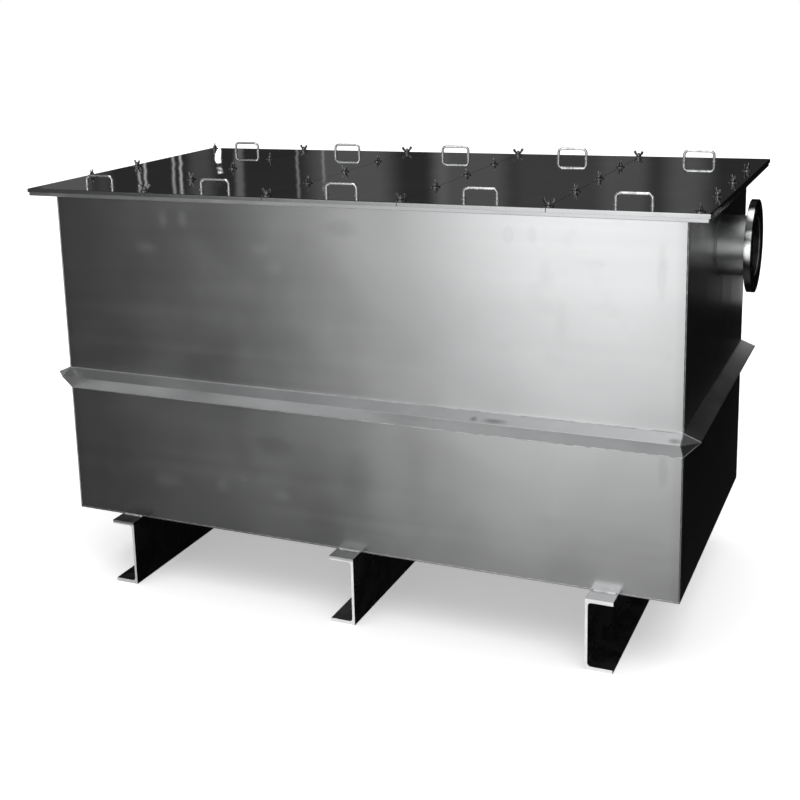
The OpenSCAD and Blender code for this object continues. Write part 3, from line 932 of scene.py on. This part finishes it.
class INTERCEPTOR_OT_stiffener_welds(bpy.types.Operator):
    """Lay the beads on the stiffener's edges and its corner pieces"""

    bl_idname = "interceptor.stiffener_welds"
    bl_label = "Weld the stiffener"

    def execute(self, context):
        welds = settings()[1]
        low, high = corner("stiffener_front")
        verts = frame["nodes"]["stiffener_front"].data.vertices
        outermost = [vert.co.z for vert in verts if vert.co.y < low.y + 1e-4]
        if not outermost:
            raise RuntimeError("the fold of the stiffener wasn't found")
        fold = sum(outermost) / len(outermost)
        reach = high.y - low.y
        radius = welds.fillet_radius * 0.5
        fine = radius * 0.45
        bm = bmesh.new()
        lay_loop(bm, STIFFENER_SEAM_INSET, high.z + BEAD_LIFT, radius, welds.ripple)
        lay_loop(bm, STIFFENER_SEAM_INSET, low.z - BEAD_LIFT, radius, welds.ripple)
        for toe in tank_corners(0.0):
            along = Vector((reach if toe.x > 0 else -reach, 0, 0))
            across = Vector((0, reach if toe.y > 0 else -reach, 0))
            for out in (along, across):
                heel = toe + out + up(fold)
                for edge in (high.z, low.z):
                    lay_bead(bm, toe + up(edge), heel, fine, welds.ripple * 0.8)
        new_piece("stiffener_welds", bm, "weld_finish")
        return {"FINISHED"}


class INTERCEPTOR_OT_foot_welds(bpy.types.Operator):
    """Lay stitch welds between the channels and the base plate"""

    bl_idname = "interceptor.foot_welds"
    bl_label = "Weld the feet"

    def execute(self, context):
        welds = settings()[1]
        base_low, base_high = corner("base_plate")
        bm = bmesh.new()
        radius = welds.fillet_radius
        for name in FEET:
            low, high = corner(name)
            for y in (base_low.y, base_high.y):
                lay_bead(bm, (low.x + 0.004, y, high.z), (high.x - 0.004, y, high.z), radius, welds.ripple)
            run = base_high.y - base_low.y - 2 * STITCH_MARGIN
            for x in (low.x, high.x):
                for i in range(STITCH_COUNT):
                    middle = base_low.y + STITCH_MARGIN + run * (i + 0.5) / STITCH_COUNT
                    start = Vector((x, middle - welds.stitch / 2, high.z - 0.001))
                    lay_bead(bm, start, start + Vector((0, welds.stitch, 0)), radius, welds.ripple)
        new_piece("foot_welds", bm, "weld_finish")
        return {"FINISHED"}


class INTERCEPTOR_OT_pipe_welds(bpy.types.Operator):
    """Lay the ring fillets round the inlet and outlet pipes"""

    bl_idname = "interceptor.pipe_welds"
    bl_label = "Weld the pipe ends"

    def execute(self, context):
        welds = settings()[1]
        bm = bmesh.new()
        for end, side in (("inlet", -1), ("outlet", 1)):
            low, high = corner(f"{end}_stub")
            flange_low, flange_high = corner(f"{end}_flange")
            height = (low.z + high.z) / 2
            radius = (high.z - low.z) / 2
            wall = corner("outlet_end_wall")[1].x * side
            back = flange_low.x if side > 0 else flange_high.x
            mouth = high.x if side > 0 else low.x
            fillet = welds.fillet_radius
            for x, ring, bead in (
                (wall, radius + BEAD_LIFT, fillet * 1.15),
                (back, radius + BEAD_LIFT, fillet),
                (mouth, radius - 0.001, MOUTH_BEAD_RADIUS),
            ):
                lay_ring_bead(bm, (x, 0, height), (1, 0, 0), ring, bead, welds.ripple)
        new_piece("pipe_welds", bm, "weld_finish")
        return {"FINISHED"}


class INTERCEPTOR_OT_handle_welds(bpy.types.Operator):
    """Lay a collar of weld round each leg of the bow handles"""

    bl_idname = "interceptor.handle_welds"
    bl_label = "Weld the handles"

    def execute(self, context):
        bm = bmesh.new()
        names = [name for name in frame["nodes"] if name.startswith("handle_")]
        if not names:
            raise RuntimeError("the frame holds no handles")
        for name in names:
            low, high = corner(name)
            radius = (high.y - low.y) / 2
            for x in (low.x + radius, high.x - radius):
                centre = (x, (low.y + high.y) / 2, low.z + 0.0004)
                ring = radius + BEAD_LIFT
                lay_ring_bead(bm, centre, (0, 0, 1), ring, HANDLE_BEAD_RADIUS, HANDLE_BEAD_RIPPLE)
        new_piece("handle_welds", bm, "weld_finish")
        return {"FINISHED"}


class INTERCEPTOR_OT_fasteners(bpy.types.Operator):
    """Model the wing nuts and the threaded studs at the places the frame gives"""

    bl_idname = "interceptor.fasteners"
    bl_label = "Fit the fasteners"

    def execute(self, context):
        sizes = settings()[2]
        centres = cluster_centres("cover_washers")
        stud_low, stud_high = corner("cover_studs")
        nut_low, nut_high = corner("wing_nuts")
        nut = wing_nut_mesh(sizes, nut_high.z - nut_low.z)
        places = [
            Matrix.Translation((x, y, nut_low.z)) @ Matrix.Rotation(wing_turn((x, y)), 4, "Z")
            for x, y in centres
        ]
        bm = bmesh.new()
        repeat_at(bm, nut, places)
        new_piece("wing_nuts_forged", bm, "fastener_finish", ("wing_nuts",), 50.0)

        stud = stud_mesh(sizes, stud_high.z - stud_low.z, nut_low.z - stud_low.z)
        bm = bmesh.new()
        repeat_at(bm, stud, [Matrix.Translation((x, y, stud_low.z)) for x, y in centres])
        new_piece("cover_studs_threaded", bm, "fastener_finish", ("cover_studs",), 25.0)
        for mesh in (nut, stud):
            bpy.data.meshes.remove(mesh)
        return {"FINISHED"}


def lay_floor(studio):
    """Lays the plain floor, which the metal doesn't reflect."""
    bm = bmesh.new()
    bmesh.ops.create_grid(bm, x_segments=1, y_segments=1, size=FLOOR_HALF_SIZE)
    floor = add_object("studio_floor", finished_mesh(bm, "studio_floor"))
    material, tree, shader, place = new_finish("floor_finish")
    mottle = noise(tree, place, 0.8, 2.0)
    colour = mixed_colour(tree, mottle, shade(studio.floor_colour, 1.0), shade(studio.floor_colour, 0.98))
    connect(tree, shader, {"Base Color": colour, "Roughness": 1.0, "Specular IOR Level": 0.0})
    connect(tree, shader, {"Emission Color": colour, "Emission Strength": studio.floor_glow})
    floor.data.materials.append(material)
    floor.visible_glossy = False


def hang_lights(studio):
    """Hangs the soft overhead light and the small light behind the outlet end."""
    lamp = bpy.data.lights.new("overhead_light", "SUN")
    lamp.energy = studio.floor_light
    lamp.angle = radians(OVERHEAD_ANGLE)
    holder = add_object("overhead_light", lamp)
    holder.rotation_euler = (*map(radians, OVERHEAD_TILT), 0.0)
    holder.visible_glossy = False

    lamp = bpy.data.lights.new("rear_light", "AREA")
    lamp.size = REAR_LIGHT_SIZE
    lamp.energy = studio.rear_light
    holder = add_object("rear_light", lamp)
    holder.location = REAR_LIGHT_PLACE
    holder.rotation_euler = (radians(-90.0), 0.0, 0.0)
    holder.visible_camera = False


def build_surround(studio):
    """Builds what the metal reflects: the softboxes and rear lamps in a dark room."""
    world = bpy.data.worlds.new("studio_surround")
    bpy.context.scene.world = world
    world.use_nodes = True
    tree = world.node_tree
    tree.nodes.clear()
    axes = split(tree, add_node(tree, "ShaderNodeTexCoord").outputs["Generated"])
    azimuth = calculate(tree, "ARCTAN2", axes["X"], calculate(tree, "MULTIPLY", axes["Y"], -1.0))
    elevation = calculate(tree, "ARCSINE", axes["Z"])
    light = studio.dark_surround
    for turn, rise, half_width, half_height, soft, strength in SOFTBOXES + REAR_LAMPS:
        inputs = {
            "Azimuth": azimuth,
            "Elevation": elevation,
            "Centre": (radians(turn), radians(rise), 0.0),
            "Half size": (radians(half_width), radians(half_height), radians(soft)),
            "Strength": strength,
        }
        light = calculate(tree, "ADD", use_group(tree, "Softbox", inputs).outputs["Light"], light)
    path = add_node(tree, "ShaderNodeLightPath")
    seen = {0: path.outputs["Is Diffuse Ray"], 2: light, 3: studio.room_light}
    strength = add_node(tree, "ShaderNodeMix", seen).outputs[0]
    glow = add_node(tree, "ShaderNodeBackground", {"Color": WHITE, "Strength": strength})
    backdrop = add_node(tree, "ShaderNodeBackground", {"Color": WHITE, "Strength": 1.0})
    shown = {0: path.outputs["Is Camera Ray"], 1: glow.outputs[0], 2: backdrop.outputs[0]}
    mixed = add_node(tree, "ShaderNodeMixShader", shown).outputs[0]
    add_node(tree, "ShaderNodeOutputWorld", {"Surface": mixed})


def place_camera(studio):
    """Sets the camera where the photograph was taken from."""
    lens = bpy.data.cameras.new("photo_camera")
    lens.lens = studio.lens
    lens.sensor_width = SENSOR_WIDTH
    lens.shift_x, lens.shift_y = LENS_SHIFT
    lens.clip_end = VIEW_DISTANCE
    camera = add_object("photo_camera", lens)
    camera.location = CAMERA_PLACE
    camera.rotation_mode = "QUATERNION"
    look = Euler((radians(90.0 - CAMERA_DIP), 0.0, radians(CAMERA_TURN))).to_quaternion()
    camera.rotation_quaternion = look @ Euler((0.0, 0.0, radians(CAMERA_ROLL))).to_quaternion()
    bpy.context.scene.camera = camera


class INTERCEPTOR_OT_studio(bpy.types.Operator):
    """Set up the floor, the soft light and the camera"""

    bl_idname = "interceptor.studio"
    bl_label = "Set up the studio"

    def execute(self, context):
        studio = settings()[3]
        context.scene.view_settings.view_transform = "Standard"
        lay_floor(studio)
        hang_lights(studio)
        build_surround(studio)
        place_camera(studio)
        return {"FINISHED"}


class INTERCEPTOR_PT_panel(bpy.types.Panel):
    """Lists the steps and settings of the interceptor"""

    bl_idname = "INTERCEPTOR_PT_panel"
    bl_label = "Petrol interceptor"
    bl_space_type = "VIEW_3D"
    bl_region_type = "UI"
    bl_category = "Interceptor"

    def draw(self, context):
        for step in STEPS:
            self.layout.operator(step.bl_idname)
        for group in settings():
            box = self.layout.box()
            for name in group.__annotations__:
                box.prop(group, name)


STEPS = (
    INTERCEPTOR_OT_finishes,
    INTERCEPTOR_OT_tank_seams,
    INTERCEPTOR_OT_stiffener_welds,
    INTERCEPTOR_OT_foot_welds,
    INTERCEPTOR_OT_pipe_welds,
    INTERCEPTOR_OT_handle_welds,
    INTERCEPTOR_OT_fasteners,
    INTERCEPTOR_OT_studio,
)
GROUPS = {
    "tank_finish": TankFinish,
    "weld_sizes": WeldSizes,
    "fastener_sizes": FastenerSizes,
    "studio_setup": StudioSetup,
}
CLASSES = (*GROUPS.values(), *STEPS, INTERCEPTOR_PT_panel)


def register():
    for item in CLASSES:
        bpy.utils.register_class(item)
    for name, group in GROUPS.items():
        setattr(bpy.types.Scene, name, PointerProperty(type=group))


def unregister():
    for name in GROUPS:
        delattr(bpy.types.Scene, name)
    for item in reversed(CLASSES):
        bpy.utils.unregister_class(item)


def main():
    register()
    bpy.ops.interceptor.finishes()
    bpy.ops.interceptor.tank_seams()
    bpy.ops.interceptor.stiffener_welds()
    bpy.ops.interceptor.foot_welds()
    bpy.ops.interceptor.pipe_welds()
    bpy.ops.interceptor.handle_welds()
    bpy.ops.interceptor.fasteners()
    bpy.ops.interceptor.studio()
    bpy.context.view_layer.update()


if __name__ == "__main__":
    main()
